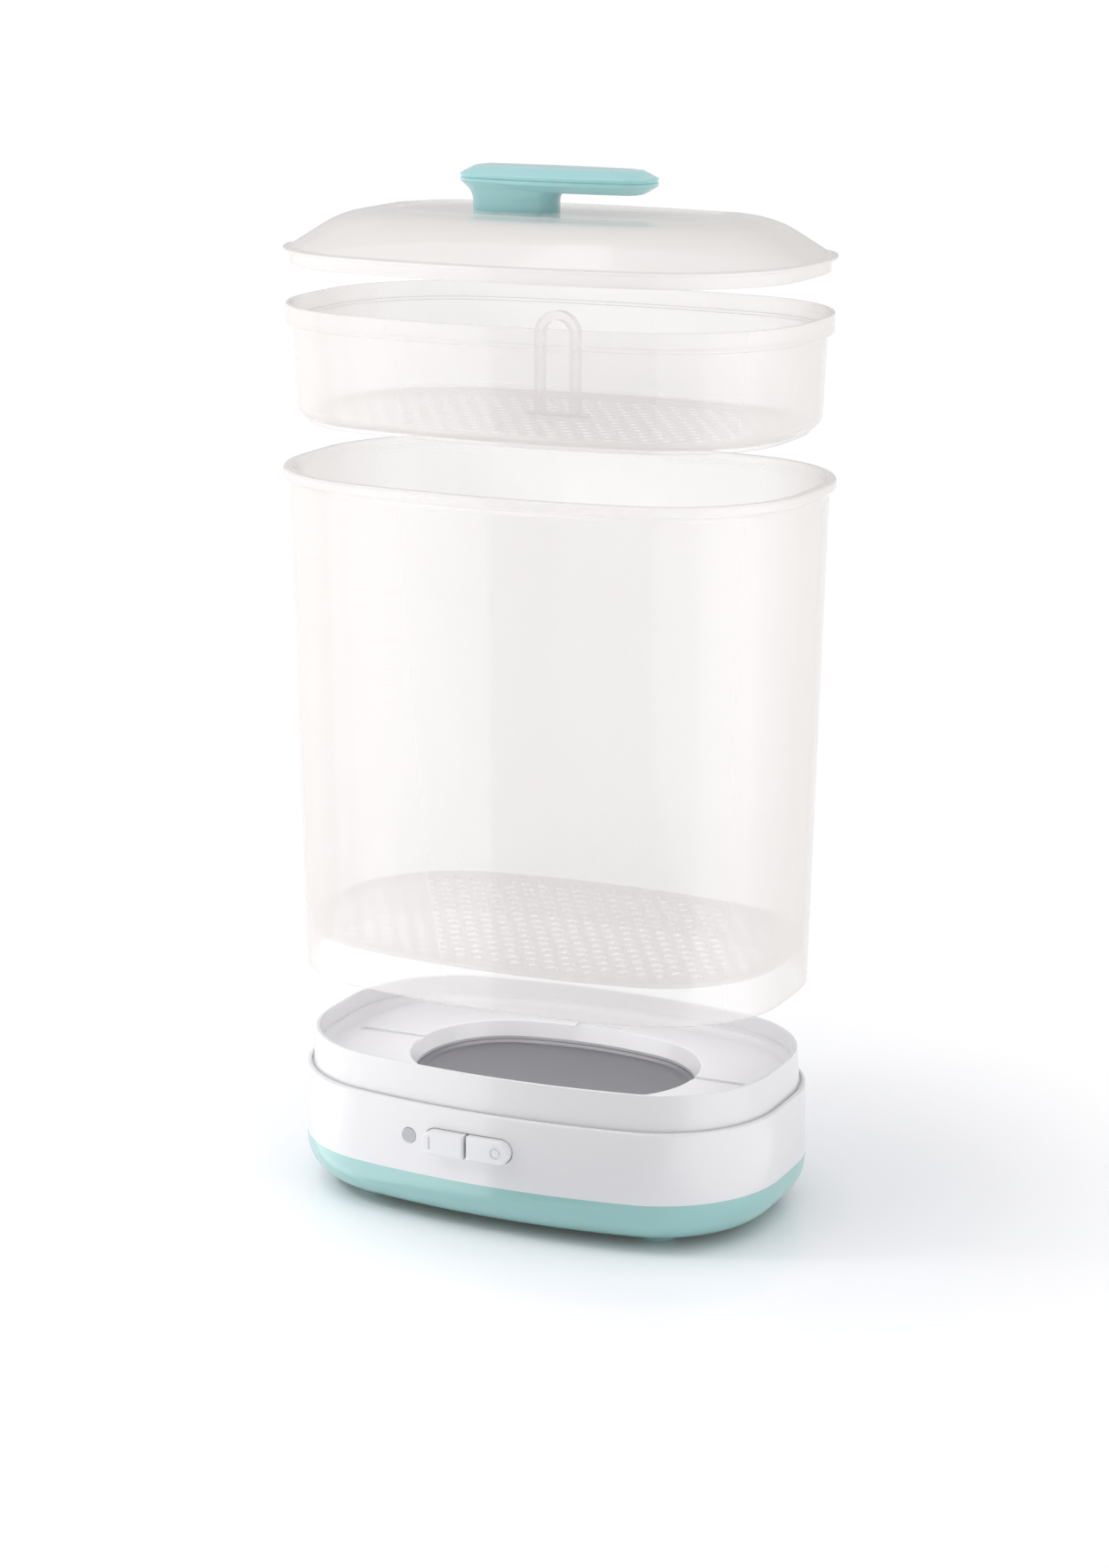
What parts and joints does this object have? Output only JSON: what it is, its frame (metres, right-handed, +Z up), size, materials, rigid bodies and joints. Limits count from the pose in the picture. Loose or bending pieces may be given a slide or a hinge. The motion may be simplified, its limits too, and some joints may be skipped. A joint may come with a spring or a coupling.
{
  "type": "bottle sterilizer",
  "caption": "Oval electric steam sterilizer for feeding bottles: heated base with push keys, tall basket, shallow basket with lifting loop, and a domed lid with a side-reaching handle.",
  "frame": {"origin": "on the surface the feet stand on, under the centre of the oval base", "axes": "+Z up through the tiers, +X along the oval's long way to the right of the keys, -Y towards the side with the keys"},
  "size_m": [0.29, 0.194, 0.5512],
  "materials": {
    "white_housing": "satin-gloss moulded polypropylene, cool white",
    "aqua_tub": "satin moulded plastic, pale aqua",
    "aqua_handle": "satin moulded plastic, pale aqua",
    "frosted_basket": "frosted translucent polypropylene, glossy outside",
    "frosted_lid": "frosted translucent polypropylene, glossy outside",
    "key_plastic": "satin moulded plastic, cool white",
    "lens_plastic": "translucent plastic",
    "lamp_resin": "clear resin",
    "foot_rubber": "matt moulded rubber",
    "gasket_silicone": "silicone",
    "plate_steel": "brushed stainless steel",
    "element_steel": "oxidised steel sheath",
    "sensor_metal": "plain",
    "screw_steel": "zinc plated",
    "inner_plastic": "natural moulded nylon",
    "switch_plastic": "matt black",
    "board_laminate": "green solder mask",
    "lead_rubber": "insulated wire",
    "gland_plastic": "matt"
  },
  "bodies": {
    "base": {"upper_housing": "white_housing", "lower_housing": "aqua_tub", "feet": "foot_rubber", "housing_screws": "screw_steel", "heating_plate": "plate_steel", "plate_gasket": "gasket_silicone", "plate_clamp_ring": "inner_plastic", "plate_screws": "screw_steel", "heating_element": "element_steel", "thermostat": "sensor_metal", "thermal_fuse": "sensor_metal", "fuse_strap": "screw_steel", "key_switches": "switch_plastic", "circuit_board": "board_laminate", "board_screws": "screw_steel", "indicator_lens": "lens_plastic", "indicator_lamp": "lamp_resin", "terminal_block": "inner_plastic", "internal_leads": "lead_rubber", "cord_gland": "gland_plastic", "gland_nut": "gland_plastic"},
    "large_basket": {"large_basket": "frosted_basket", "large_basket_floor": "frosted_basket"},
    "small_basket": {"small_basket": "frosted_basket", "small_basket_floor": "frosted_basket", "lifting_loop": "frosted_basket"},
    "lid": {"lid_shell": "frosted_lid", "handle_base": "aqua_handle", "handle_cap": "aqua_handle", "handle_screws": "screw_steel"},
    "on_key": {"on_key": "key_plastic", "on_plunger": "inner_plastic"},
    "off_key": {"off_key": "key_plastic", "off_plunger": "inner_plastic"}
  },
  "joints": [
    {"name": "large_basket_lift", "type": "slide", "parent": "base", "child": "large_basket", "axis": [0, 0, 1], "range_m": [-0.0574, 0]},
    {"name": "small_basket_lift", "type": "slide", "parent": "large_basket", "child": "small_basket", "axis": [0, 0, 1], "range_m": [-0.0748, 0]},
    {"name": "lid_lift", "type": "slide", "parent": "small_basket", "child": "lid", "axis": [0, 0, 1], "range_m": [-0.0272, 0]},
    {"name": "on_key_push", "type": "slide", "parent": "base", "child": "on_key", "axis": [0, 1, 0], "range_m": [0, 0.002], "stiffness_N_per_m": 400, "springref_m": -0.002},
    {"name": "off_key_push", "type": "slide", "parent": "base", "child": "off_key", "axis": [0, 1, 0], "range_m": [0, 0.002], "stiffness_N_per_m": 400, "springref_m": -0.002}
  ]
}
